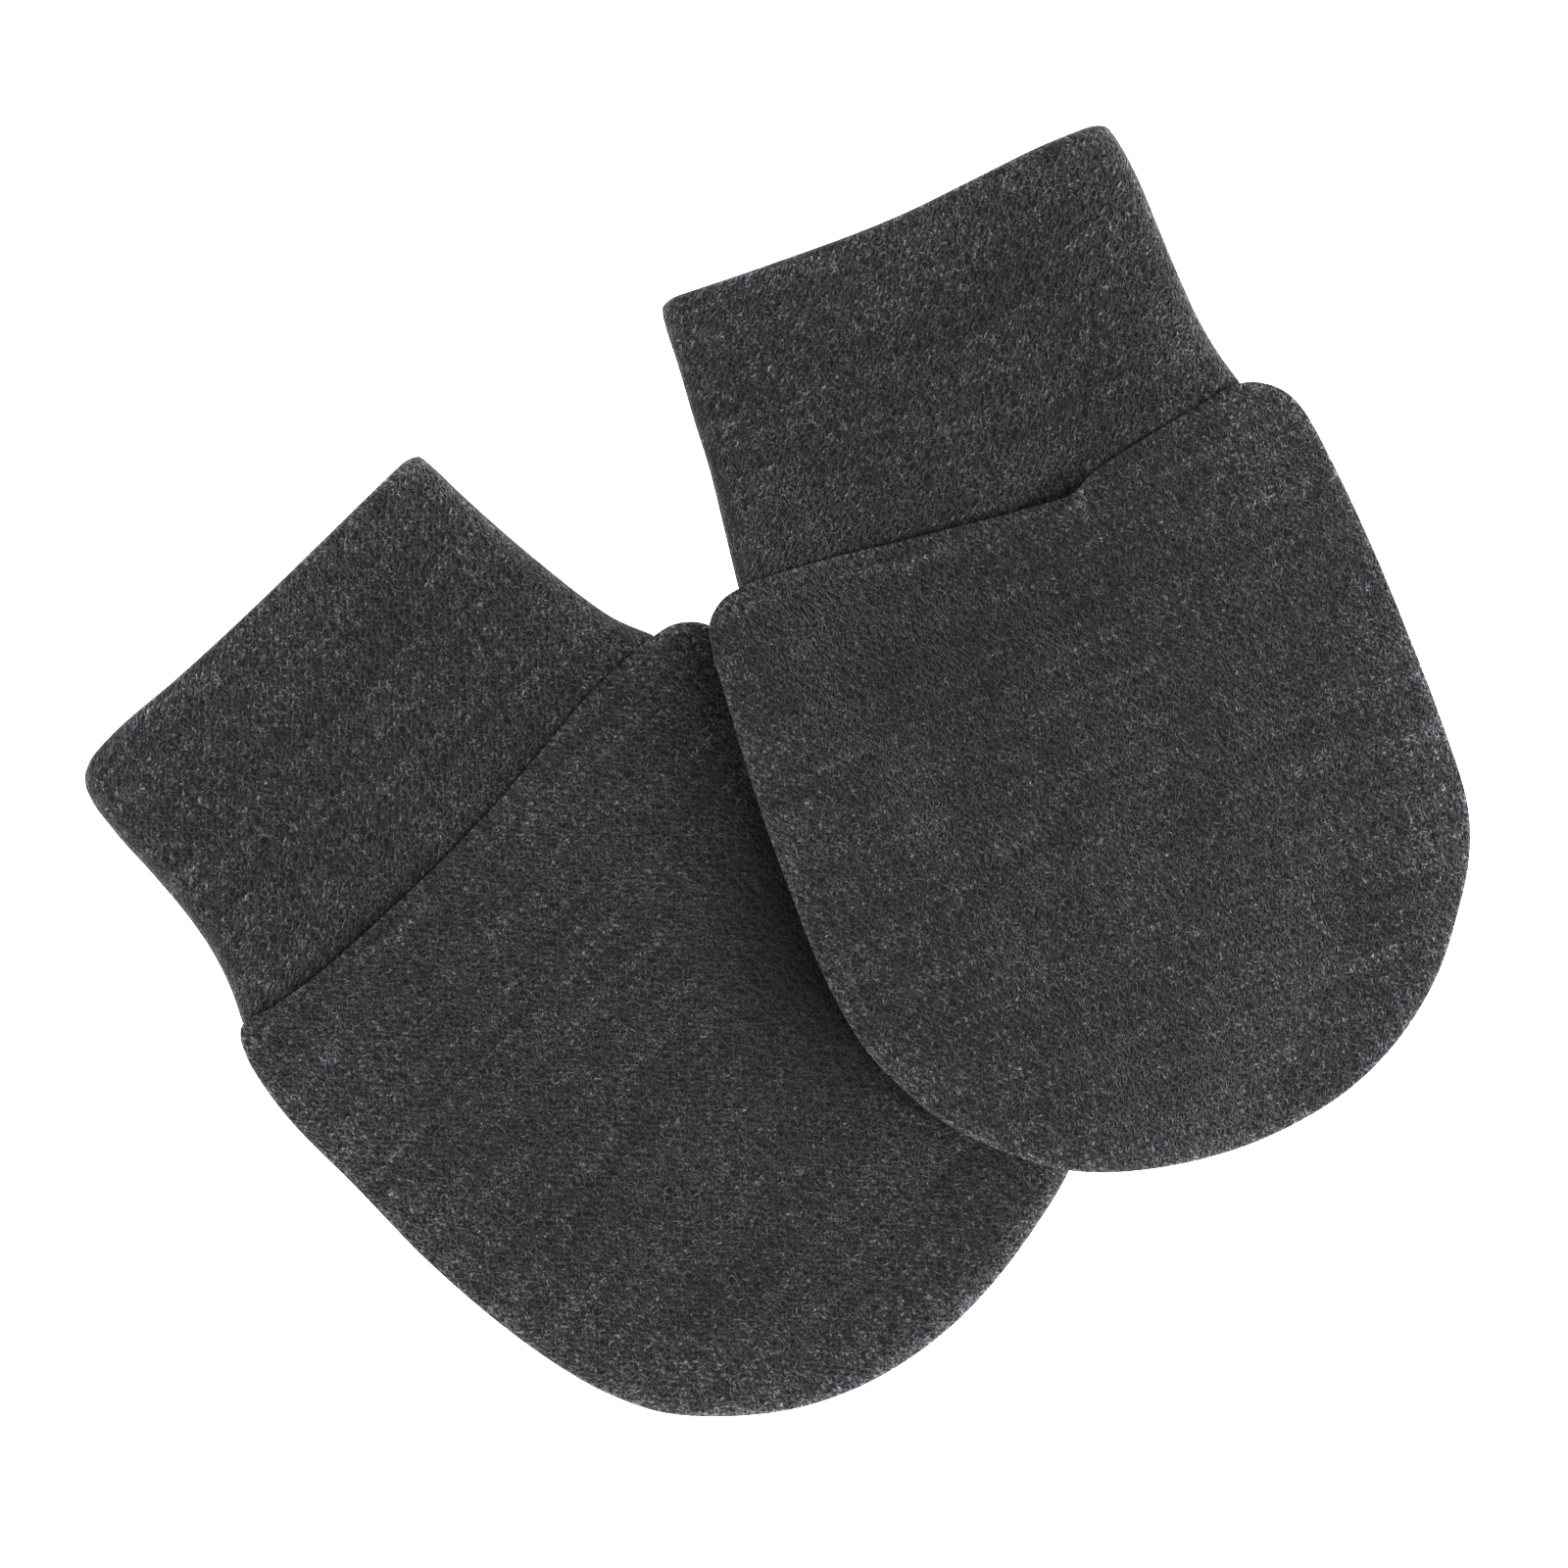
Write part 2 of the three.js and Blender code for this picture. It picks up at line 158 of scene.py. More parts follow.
def smoothstep(value, start, end):
    """0 before start and 1 after end, with t * t * (3 - 2 t) between them."""
    t = np.clip((value - start) / (end - start), 0, 1)
    return t * t * (3 - 2 * t)


def lerp(start, end, share):
    """start + (end - start) * share."""
    return start + (end - start) * share


def curve_through(knots, steps):
    """A closed curve through the knots. Each span is a cubic, and its end slopes come from the knots on
    both sides, spaced by the square roots of their distances."""
    before, start, end, after = (np.roll(knots, shift, axis=0) for shift in (1, 0, -1, -2))
    gaps = ((before, start), (start, end), (end, after))
    a, b, c = (np.sqrt(np.linalg.norm(q - p, axis=1))[:, None] for p, q in gaps)
    slope_in = b * ((start - before) / a - (end - before) / (a + b) + (end - start) / b)
    slope_out = b * ((end - start) / b - (after - start) / (b + c) + (after - end) / c)
    t = (np.arange(steps) / steps)[:, None, None]
    square = 3 * (end - start) - 2 * slope_in - slope_out
    cube = 2 * (start - end) + slope_in + slope_out
    points = start + slope_in * t + square * t ** 2 + cube * t ** 3
    return points.transpose(1, 0, 2).reshape(-1, 2)


def pouch_outline(mitten):
    """The pouch's edge from above: along the mouth, down the right side, round the tip, up the left."""
    mouth = np.column_stack([mitten.mouth.across, -mitten.mouth.along])
    right_side = np.column_stack([mitten.pouch.right, -mitten.pouch.along])
    left_side = np.column_stack([-mitten.pouch.left, -mitten.pouch.along])[::-1]
    tip = [[mitten.tip[0], -mitten.tip[1]]]
    return curve_through(np.vstack([mouth, right_side, tip, left_side]), points_per_span)


def mouth_share(mitten, edge, start, end):
    """1 on the stretch of the outline that lies on the cuff and 0 round the sides. It falls from start
    to end, counted from the seam's ends."""
    x, y = edge.T
    beyond = np.where(x < 0, mitten.mouth.across[0] - x, x - mitten.mouth.across[-1])
    return np.where(y > -mitten.tip[1] / 2, 1 - smoothstep(beyond, start, end), 0)


def on_rays(mitten, edge, inset):
    """Rings drawn in from the outline: middle + (1 - inset / half the length) * (edge - middle)."""
    middle = np.array([0, -mitten.tip[1] / 2])
    share = 1 - inset[:, None, None] / -middle[1]
    return middle + share * (edge - middle)


def allowance(inset):
    """The turned-in seam allowance's part of a height: full at the seam and gone in the middle."""
    return allowance_height * (1 - smoothstep(inset, allowance_start, allowance_end))


def to_table(mitten, points):
    """The mitten's frame turned by its angle and moved to its seam's centre."""
    turn = mitten.turn
    x = points[..., 0] * math.cos(turn) - points[..., 1] * math.sin(turn) + mitten.seam_centre[0]
    y = points[..., 0] * math.sin(turn) + points[..., 1] * math.cos(turn) + mitten.seam_centre[1]
    return np.stack([x, y], axis=-1)


def lift(mitten, points, bridge=0.0):
    """How far a point of the right mitten is raised. It lies on the left one's top, keeps the height of
    the roll out to the hidden edge, and comes down to the table over the drape length. Where it bridges
    it passes over the roll and comes down slowly."""
    if mitten is left:
        return np.zeros(points.shape[:-1])
    edge = to_table(left, pouch_outline(left))
    middle = to_table(left, np.array([0, -left.tip[1] / 2]))
    place = to_table(right, points) - middle
    edge_angle = np.arctan2(edge[:, 1] - middle[1], edge[:, 0] - middle[0])
    edge_reach = np.linalg.norm(edge - middle, axis=1)
    order = np.argsort(edge_angle)
    angle = np.arctan2(place[..., 1], place[..., 0])
    reach = np.interp(angle, edge_angle[order], edge_reach[order], period=2 * math.pi)
    inset = (1 - np.linalg.norm(place, axis=-1) / reach) * left.tip[1] / 2
    crest = (1 - bridge) * (1 - smoothstep(inset, crest_width, crest_fade))
    on_top = lerp(pouch_height, roll_height, crest) + seam_gap
    way_down = lerp(drape_length, bridge_length, bridge)
    return on_top * (1 - smoothstep(-inset, -bridge * bridge_start, way_down))


def walked(points):
    """The cloth's own coordinates of rings: straight out from the middle, by the length of surface
    walked along each ray from the last ring back to the first."""
    steps = np.linalg.norm(np.diff(points[::-1], axis=0), axis=2)
    length = np.vstack([np.zeros(points.shape[1]), np.cumsum(steps, axis=0)])[::-1]
    outward = points[len(points) // 2, :, :2] - points[-1, :, :2]
    outward /= np.linalg.norm(outward, axis=1)[:, None]
    cloth = points[-1, :, :2] + length[..., None] * outward
    return np.concatenate([cloth, cloth[:, :1]], axis=1)


def painted_rim_highlight(distance):
    """How much the colour is lightened at a distance in from a folded edge, as a painted highlight that
    stands for the sheen and the light of the white table there: four parts of growing width, each height *
    exp(-distance / width)."""
    highlight_heights = np.array([2.6, 0.98, 0.50, 0.30])
    highlight_widths = np.array([0.3, 1.0, 3.5, 12.0])
    return (highlight_heights * np.exp(-np.maximum(distance, 0)[..., None] / highlight_widths)).sum(axis=-1)


def shell(name, mitten, points, cloth, painted_light, poles=None):
    """A closed body through rings of points: quads between neighbouring rings, and a fan to each pole.
    With no poles the last ring joins the first. cloth has one more column, and one more row with no
    poles, so that the knit runs on over the join."""
    rings, around = points.shape[:2]
    capped = poles is not None
    bands = rings - 1 if capped else rings
    ring, step = (index.ravel() for index in np.mgrid[:bands, :around])
    corner_rings = np.stack([ring, ring + 1, ring + 1, ring], axis=1)
    corner_steps = np.stack([step, step, step + 1, step + 1], axis=1)
    quads = corner_rings % rings * around + corner_steps % around
    corners = [cloth[corner_rings, corner_steps].reshape(-1, 2)]
    faces = quads.tolist()
    vertices = points.reshape(-1, 3)
    if capped:
        step = np.arange(around)
        first, last = len(vertices), len(vertices) + 1
        end = (rings - 1) * around
        vertices = np.vstack([vertices, poles])
        painted_light = np.append(painted_light, [0, 0])
        fans = [np.stack([np.full(around, first), step, (step + 1) % around], axis=1)]
        fans.append(np.stack([np.full(around, last), end + (step + 1) % around, end + step], axis=1))
        faces += np.vstack(fans).tolist()
        for ring, sides in ((0, (step, step + 1)), (rings - 1, (step + 1, step))):
            pole = np.broadcast_to(cloth[ring, :-1].mean(axis=0), (around, 2))
            fan = [pole, cloth[ring, sides[0]], cloth[ring, sides[1]]]
            corners.append(np.stack(fan, axis=1).reshape(-1, 2))
    placed = np.column_stack([to_table(mitten, vertices[:, :2]), vertices[:, 2]]) * mm
    mesh = bpy.data.meshes.new(name)
    mesh.from_pydata(placed.tolist(), [], faces)
    layer = mesh.uv_layers.new(name="cloth")
    layer.uv.foreach_set("vector", (np.vstack(corners) * mm).ravel())
    mesh.attributes.new("painted_light", "FLOAT", "POINT").data.foreach_set("value", painted_light.ravel())
    mesh.shade_smooth()
    piece = bpy.data.objects.new(name, mesh)
    bpy.context.collection.objects.link(piece)
    return piece


class Tone:
    """A shader socket that varies over the cloth. Each operator on it adds one Math node."""

    def __init__(self, tree, link=None):
        self.tree = tree
        self.link = link

    def node(self, kind, settings=(), sockets=(), output=0):
        """Adds a node: its settings first, then the value or link of each socket."""
        made = self.tree.nodes.new(kind)
        for name, value in dict(settings).items():
            setattr(made, name, value)
        for name, value in dict(sockets).items():
            if isinstance(value, Tone):
                self.tree.links.new(value.link, made.inputs[name])
            else:
                made.inputs[name].default_value = value
        return Tone(self.tree, made.outputs[output]) if made.outputs else made

    def math(self, operation, *values):
        return self.node("ShaderNodeMath", {"operation": operation}, enumerate(values))

    def __add__(self, other):
        return self.math("ADD", self, other)

    def __sub__(self, other):
        return self.math("SUBTRACT", self, other)

    def __rsub__(self, other):
        return self.math("SUBTRACT", other, self)

    def __mul__(self, other):
        return self.math("MULTIPLY", self, other)

    def __truediv__(self, other):
        return self.math("DIVIDE", self, other)

    def __pow__(self, other):
        return self.math("POWER", self, other)

    def __rpow__(self, other):
        return self.math("POWER", other, self)

    __radd__ = __add__
    __rmul__ = __mul__

    def smoothstep(self, start, end):
        limits = {"Value": self, "From Min": start, "From Max": end}
        return self.node("ShaderNodeMapRange", {"interpolation_type": "SMOOTHSTEP"}, limits)


def knit(name, wale, course, shade):
    """Heather interlock jersey, from the cloth's own coordinates in metres. Each wale is a column of
    stitches with two slanting legs. A leg's height is a cosine of course count + slant * distance from
    the wale's side, times a bulge across the leg. The yarn's tone is the leg's brightness, which is low in
    the gaps between legs as painted shade in the pits, times e to the power of some mottle, times one plus
    the painted light that each point carries: a painted highlight along the rims, and patches of painted
    shade, shadow and highlight. shade is the tone's colour."""
    material = bpy.data.materials.new(name)
    material.use_nodes = True
    tree = material.node_tree
    tree.nodes.clear()
    start = Tone(tree)
    cloth = start.node("ShaderNodeUVMap", {"uv_map": "cloth"})

    def noise(size, detail=2.0, offset=0.0, stretch=(1.0, 1.0)):
        """Noise with features of a size in millimetres, as three numbers from 0 to 1."""
        scale = tuple(1 / (size * mm * factor) for factor in stretch) + (1.0,)
        moved = {"Vector": cloth, "Location": (offset, offset, 0), "Scale": scale}
        mapped = start.node("ShaderNodeMapping", {}, moved)
        grain = {"Vector": mapped, "Scale": 1.0, "Detail": detail}
        colour = start.node("ShaderNodeTexNoise", {}, grain, 1)
        parts = start.node("ShaderNodeSeparateColor", {}, {"Color": colour})
        return [Tone(tree, output) for output in parts.link.node.outputs]

    x = start.node("ShaderNodeSeparateXYZ", {}, {"Vector": cloth})
    y = Tone(tree, x.link.node.outputs[1])
    drift = noise(7.0, 1.0)
    jostle = noise(0.8, 2.0, 3.7)
    drift_stitches = 1.4
    jostle_wales = 1.5
    jostle_courses = 1.9
    across = x * (1 / (wale * mm)) + (drift[0] - 0.5) * drift_stitches + (jostle[0] - 0.5) * jostle_wales
    along = y * (1 / (course * mm)) + (drift[1] - 0.5) * drift_stitches + (jostle[1] - 0.5) * jostle_courses

    leg_split = 0.64
    slant = 1.5
    bulge_power = 0.6
    side = start.math("FRACT", across)
    from_left = side * (1 / leg_split)
    from_right = (1 - side) * (1 / (1 - leg_split))
    over_leg = start.math("MINIMUM", from_left, from_right)
    count = along + over_leg * (slant * leg_split)
    ridge = start.math("COSINE", count * (2 * math.pi)) * 0.5 + 0.5
    bulge = (over_leg * (1 - over_leg) * 4.0) ** bulge_power
    height = ridge * bulge

    stitch = start.node("ShaderNodeCombineXYZ", {}, {
        "X": start.math("FLOOR", across),
        "Y": start.math("FLOOR", count),
        "Z": start.math("GREATER_THAN", side, leg_split),
    })
    chance = start.node("ShaderNodeTexWhiteNoise", {"noise_dimensions": "3D"}, {"Vector": stitch})
    fibre = noise(0.30, 2.0, 9.1)
    tint = noise(0.5, 1.0, 14.3)
    clump = noise(0.75, 2.0, 17.9)
    streak = noise(1.2, 2.0, 5.3, (10.0, 1.0))
    cloud = noise(4.0, 3.0, 1.9)
    lint = noise(0.55, 0.0, 21.7)[0].smoothstep(0.78, 0.86)
    # Painted light of each point: a painted highlight along the rims, and patches of painted shade, shadow
    # and highlight.
    painted_light = start.node("ShaderNodeAttribute", {"attribute_name": "painted_light"}, {}, 2)

    # The gaps between the stitch legs are made much darker than the legs' tops: painted shade in the pits
    # between the loops.
    leg_tone = 1.4
    gap_tone = 0.12
    dulling = 0.04
    lint_tone = 1.2
    parts = ((fibre[0], 6.6), (chance, 1.8), (clump[0], 4.6), (streak[1], 2.6), (cloud[0], 0.6))
    mottle = sum(part * contrast for part, contrast in parts)
    mottle_middle = sum(contrast for part, contrast in parts) / 2
    yarn = (height * leg_tone + gap_tone) * math.e ** (mottle - mottle_middle) * (painted_light + 1)
    tone = yarn / (yarn * dulling + 1) + lint * lint_tone
    pink_or_blue = start.node("ShaderNodeMix", {"data_type": "RGBA"}, {
        "Factor": tint[1].smoothstep(0.35, 0.65),
        "A": (1.10, 0.89, 1.05, 1),
        "B": (0.94, 0.94, 1.15, 1),
    }, 2)
    heather = start.node("ShaderNodeMix", {"data_type": "RGBA"}, {
        "Factor": tint[2].smoothstep(0.45, 0.75),
        "A": pink_or_blue,
        "B": (1.06, 1.04, 0.90, 1),
    }, 2)
    shaded = {"Vector": heather, "Scale": tone * shade}
    colour = start.node("ShaderNodeVectorMath", {"operation": "SCALE"}, shaded)
    fibre_relief = 0.8
    relief = {"Height": height + fibre[0] * fibre_relief, "Distance": 0.28 * mm, "Strength": 0.9}
    bump = start.node("ShaderNodeBump", {}, relief)
    surface = start.node("ShaderNodeBsdfPrincipled", {}, {
        "Base Color": colour,
        "Normal": bump,
        "Roughness": 0.92,
        "Specular IOR Level": 0.2,
        "Sheen Weight": 0.25,
        "Sheen Roughness": 0.45,
        "Sheen Tint": (0.9, 0.9, 0.95, 1),
    })
    start.node("ShaderNodeOutputMaterial", {}, {"Surface": surface})
    return material


pouch_knit = knit("charcoal_pouch_knit", 0.80, 0.93, 0.0200)


def inside_height(mitten, edge, inset):
    """The palm's inner face: one ply and the allowance, lowered at the mouth to meet the cuff."""
    mouth_drop = ply_wall + allowance_height - cuff_end_wall
    near_seam = 1 - smoothstep(inset, allowance_start, allowance_end)
    return ply_wall + allowance(inset) - mouth_drop * mouth_share(mitten, edge, *seam_ends) * near_seam


def palm_points(mitten):
    """Rings from the middle of the bottom out to the rim and back in over the inner face. The rim is a
    quarter ellipse below its widest line and another above it. The mouth edge is set straight back."""
    edge = pouch_outline(mitten)
    trim = mouth_trim * mouth_share(mitten, edge, *trim_ends)
    edge = edge - np.column_stack([0 * trim, trim])
    below = np.radians(np.linspace(-90, 0, 7))
    above = np.radians(np.linspace(0, 90, 6)[1:])
    bottom_inset = np.array([36.0, 28.0, 20.5, 14.0, 10.0, 7.5, 5.0, 3.5, 2.0, 1.4])
    lower_rise = palm_widest_rise * (1 + np.sin(below))
    upper_rise = lerp(palm_widest_rise, 1, np.sin(above))
    rim_inset = np.concatenate([palm_lower_rim * (1 - np.cos(below)), palm_upper_rim * (1 - np.cos(above))])
    rim_rise = np.concatenate([lower_rise, upper_rise])
    inside_inset = np.array([1.4, 2.2, 3.0, 4.5, 6.0, 7.5, 10.0, 14.0, 20.5, 28.0, 36.0])
    inset = np.concatenate([bottom_inset, rim_inset, inside_inset])
    rise = np.concatenate([0 * bottom_inset, rim_rise, 0 * inside_inset + 1])
    height = rise[:, None] * inside_height(mitten, edge, inset[:, None] + trim)
    return np.dstack([on_rays(mitten, edge, inset), height])


def panel_piece(mitten, piece, points, bridge=np.zeros(1), laid=0.0, highlight_share=highlight_below):
    """A pouch's panel as a piece: a shell through the rings, closed with a point at each end. How far it
    bridges the mitten beneath may differ from ring to ring. Next come patches of painted shade, shadow and
    highlight, and then the share of the painted rim highlight that each ring gets, which is least beneath
    the rim."""
    poles = points[[0, -1]].mean(axis=1)
    cloth = walked(points)
    middle = poles[1, :2]
    reach = np.linalg.norm(points[..., :2] - middle, axis=2)
    highlit_edge = 1 - unlit_mouth_share * mouth_share(mitten, pouch_outline(mitten), *unlit_mouth_ends)
    # Painted light: a painted highlight along the rim, less along the mouth, minus the patches of painted
    # shade.
    raised = painted_rim_highlight(mitten.tip[1] / 2 * (1 - reach / reach.max(axis=0)))
    painted_light = mitten.rim_highlight * highlight_share * highlit_edge * raised - laid
    points[..., 2] += lift(mitten, points, bridge)
    poles[:, 2] += lift(mitten, poles, bridge[[0, -1]].ravel())
    made = shell(f"{mitten.name}_{piece}_jersey", mitten, points, cloth, painted_light, poles)
    made.data.materials.append(pouch_knit)
    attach(made, "root")
    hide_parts(f"{mitten.name}_{piece}")
    return made


for mitten, beneath in ((left, ()), (right, ("left_back",))):
    palm = panel_piece(mitten, "palm", palm_points(mitten))


# The back of each mitten is its upper panel, cut as the palm is and turned with it right side out. Its rim
# rolls down to the side seam, and is sewn over the cuff's end at the mouth. Soft dents show where the empty
# pouch has sunk. In patches its colour is darkened as painted shade and shadow, or lightened as painted
# highlight.
roll_width = 2.6
valley_width = 4.5
edge_undercut = 0.6
widest_rise = 0.38
least_wall = 0.3
slack = 0.35
shut_gap = 0.04
open_gap = 0.3

left.roll = SimpleNamespace(height=3.6, fade=16.0, middle=pouch_height)
right.roll = SimpleNamespace(height=3.2, fade=34.0, middle=4.5)

# creases are soft dents: their middle, their half length and half width, their turn from X in degrees and
# their depth. The next two tables are patches of painted light in the same way: above 0 they darken the
# colour as painted shade and shadow, 1 taking away the colour but for the rim highlight, and below 0 they
# lighten it as painted highlight.
# step goes along the mouth's seam: the height of the back there, its gap over the cuff's end, and the
# height that the stitching presses that end to.
left.creases = columns(
    "across along length width turn depth",
    (-6.0, 14.0, 20.0, 4.5, 4.0, 0.3),
    (4.0, 33.0, 16.0, 5.0, -6.0, 0.25),
    (-8.0, 52.0, 14.0, 5.0, 10.0, 0.25),
    (-16.0, 7.0, 9.0, 2.0, -14.0, 0.3),
    (-22.0, 30.0, 3.5, 14.0, 6.0, 0.25),
    (14.0, 60.0, 13.0, 3.5, 24.0, 0.3),
)
right.creases = columns(
    "across along length width turn depth",
    (-10.0, 12.0, 20.0, 4.5, -8.0, 0.35),
    (8.0, 21.0, 18.0, 4.5, -12.0, 0.3),
    (-2.0, 40.0, 18.0, 5.0, 8.0, 0.2),
    (9.6, 8.0, 1.2, 3.5, 0.0, 0.12),
    (12.6, 8.5, 1.2, 4.0, 0.0, 0.1),
    (5.0, 1.2, 4.0, 3.0, 8.0, 0.4),
    (-18.0, 28.0, 4.0, 16.0, 8.0, 0.3),
    (16.0, 52.0, 14.0, 4.0, 20.0, 0.3),
)
left.laid = columns(
    "across along length width turn depth",
    (19.0, 30.0, 28.0, 11.0, 64.0, 0.55),
    (15.0, 36.0, 22.0, 9.0, 73.0, 0.40),
    (15.0, -1.5, 14.0, 3.5, 0.0, 0.40),
    (-16.0, 0.3, 13.0, 2.2, -3.0, 0.28),
    (8.0, 3.2, 20.0, 1.6, 0.0, -0.25),
    (-23.0, -27.0, 9.0, 10.0, 0.0, -0.40),
    (-27.0, -13.0, 12.0, 6.0, 85.0, -0.35),
    (-32.0, 10.0, 8.0, 6.0, 85.0, -0.35),
    (-31.0, 34.0, 26.0, 8.0, 85.0, -0.65),
    (-20.0, 59.0, 15.0, 9.0, -45.0, -0.65),
    (-4.0, 70.0, 14.0, 8.0, 0.0, -0.50),
    (16.0, 70.0, 12.0, 5.0, 28.0, 0.25),
)
right.laid = columns(
    "across along length width turn depth",
    (-25.0, 7.0, 12.0, 13.0, 0.0, 0.45),
    (-14.0, 17.0, 22.0, 12.0, -24.0, 0.46),
    (2.0, 15.0, 24.0, 8.0, -3.0, 0.24),
    (-21.0, 1.5, 7.0, 2.5, 0.0, 0.35),
    (-8.0, 4.5, 16.0, 2.0, -5.0, -0.20),
    (-6.0, 68.0, 14.0, 9.0, 6.0, 0.45),
    (26.0, 6.5, 9.5, 8.5, -30.0, -0.95),
    (32.0, 40.0, 24.0, 6.0, 82.0, -0.75),
    (20.0, 65.0, 14.0, 6.0, 48.0, -0.60),
    (-6.0, 0.0, 14.0, 3.0, -5.0, 0.35),
    (14.0, 0.3, 12.0, 3.0, 10.0, 0.45),
    (2.0, -14.0, 24.0, 13.0, 0.0, 0.14),
    (-21.0, -5.0, 9.0, 8.0, 0.0, 0.40),
    (14.0, -4.0, 12.0, 5.0, 8.0, 0.20),
    (-24.0, -24.0, 8.0, 8.0, 0.0, -0.25),
    (25.0, -17.0, 14.0, 5.0, 90.0, -0.35),
)
left.step = columns(
    "across height gap cuff",
    (-29.9, 3.3, 0.05, 2.8),
    (-26.5, 3.4, 0.10, 2.75),
    (-22.0, 3.5, 0.17, 2.7),
    (-10.0, 3.5, 0.17, 2.7),
    (3.0, 3.4, 0.14, 2.7),
    (9.0, 3.5, 0.06, 2.8),
    (29.7, 3.6, 0.05, 2.7),
)
right.step = columns(
    "across height gap cuff",
    (-29.1, 3.2, 0.05, 2.9),
    (-16.0, 3.2, 0.06, 2.9),
    (-12.5, 3.4, 0.16, 2.75),
    (-6.0, 3.5, 0.20, 2.7),
    (0.0, 3.55, 0.22, 2.7),
    (4.0, 3.65, 0.26, 2.6),
    (7.6, 3.85, 0.34, 2.45),
    (8.8, 3.55, 0.14, 2.7),
    (10.5, 3.5, 0.05, 2.8),
    (28.0, 3.5, 0.05, 2.8),
)


def depth_of(places, points):
    """Each place is a soft oval: depth * exp(-2 (l * l + c * c)), with l and c the distances along and
    across it as shares of its length and width. The depths add up, and one below 0 is a rise."""
    turn = np.radians(places.turn)
    x = points[..., 0, None] - places.across
    y = points[..., 1, None] + places.along
    lengthwise = (x * np.cos(turn) + y * np.sin(turn)) / places.length
    crosswise = (y * np.cos(turn) - x * np.sin(turn)) / places.width
    return (places.depth * np.exp(-2 * (lengthwise ** 2 + crosswise ** 2))).sum(axis=-1)


def unevenness(points, seed):
    """Slack cloth is nowhere quite level: the sum of a few slanting sine waves, 9 to 24 mm long, as a
    share from 0 to 1. The share is 0.5 + 0.5 * tanh(sum / spread)."""
    waves = 9
    spread = 2.4
    chance = np.random.default_rng(seed)
    angle = chance.uniform(0, 2 * math.pi, waves)
    number = 2 * math.pi / chance.uniform(9, 24, waves)
    phase = chance.uniform(0, 2 * math.pi, waves)
    wave = points[..., 0, None] * np.cos(angle) * number + points[..., 1, None] * np.sin(angle) * number
    return 0.5 + 0.5 * np.tanh(np.sin(wave + phase).sum(axis=-1) / spread)


def underside_height(mitten, edge, inset):
    """The back's inner face: on the palm, but raised over the cuff's end at the mouth."""
    on_panel = ply_wall + inner_gap + allowance(inset)
    on_cuff = np.interp(edge[:, 0], mitten.step.across, mitten.step.cuff + mitten.step.gap)
    past_cuff = smoothstep(inset, mouth_trim + seam_gap, mouth_trim + 4 * seam_gap)
    return lerp(on_panel, on_cuff, mouth_share(mitten, edge, *seam_ends) * (1 - past_cuff))


def back_points(mitten, seed):
    """Rings from the middle of the inner face out to the rim, over the roll and back in over the top.
    The roll is a quarter ellipse below its widest line and a wider one above it. Where the seam at the
    mouth is closed, the rim rises from it as one side of a soft valley instead. The top is never nearer
    the inner face than the least wall."""
    edge = pouch_outline(mitten)
    below = np.radians(np.linspace(-90, 0, 6))
    above = np.radians(np.linspace(0, 90, 14)[1:])
    inner_inset = np.array([36.0, 28.0, 20.5, 14.0, 10.0, 7.5, 5.0, 4.0, 3.2, 2.9, 2.6, 2.3, 2.0, 1.4])
    rim_inset = np.concatenate([edge_undercut * (1 - np.cos(below)), roll_width * (1 - np.cos(above))])
    rim_rise = np.concatenate([widest_rise * (1 + np.sin(below)), lerp(widest_rise, 1, np.sin(above))])
    top_inset = np.concatenate([np.arange(3.1, 35, 0.65), [35.5, 36.2]])

    mouth = mouth_share(mitten, edge, *seam_ends)
    step_height, step_gap = (np.interp(edge[:, 0], mitten.step.across, column)
                             for column in (mitten.step.height, mitten.step.gap))
    roll = lerp(mitten.roll.height, step_height, mouth)
    closed = mouth * (1 - smoothstep(step_gap, shut_gap, open_gap))
    seam = underside_height(mitten, edge, 0)
    rim = lerp(seam, roll, rim_rise[:, None])
    from_middle = 1 - np.clip((top_inset[:, None] - roll_width) / mitten.roll.fade, 0, 1)
    top = lerp(roll, mitten.roll.middle, 1 - from_middle ** 2)
    outer = np.vstack([rim, top])
    outer_inset = np.concatenate([0 * below, rim_inset[len(below):], top_inset])[:, None]
    valley = lerp(seam + 0.05, outer, smoothstep(outer_inset, -0.5, valley_width))
    outer = lerp(outer, np.minimum(outer, valley), closed)

    inset = np.concatenate([inner_inset, rim_inset, top_inset])
    rise = np.concatenate([0 * inner_inset, rim_rise, 0 * top_inset + 1])
    flat = on_rays(mitten, edge, inset)
    height = np.vstack([underside_height(mitten, edge, inner_inset[:, None]), outer])
    height -= rise[:, None] ** 2 * (depth_of(mitten.creases, flat) + slack * unevenness(flat, seed))
    inner_face = underside_height(mitten, edge, inset[:, None])
    height = np.maximum(height, inner_face + least_wall * rise[:, None])
    bridge = smoothstep(inset, roll_width, bridge_fade) * (np.arange(len(inset)) >= len(inner_inset))
    # Patches of painted shade, shadow and highlight, fading to none beneath the rim.
    laid = rise[:, None] * depth_of(mitten.laid, flat)
    # The share of the painted rim highlight, least beneath the roll's widest line.
    highlight_share = lerp(highlight_below, 1, smoothstep(rise, 0, widest_rise))
    return np.dstack([flat, height]), bridge[:, None], laid, highlight_share[:, None]


for mitten, seed in ((left, 5), (right, 11)):
    back = panel_piece(mitten, "back", *back_points(mitten, seed))


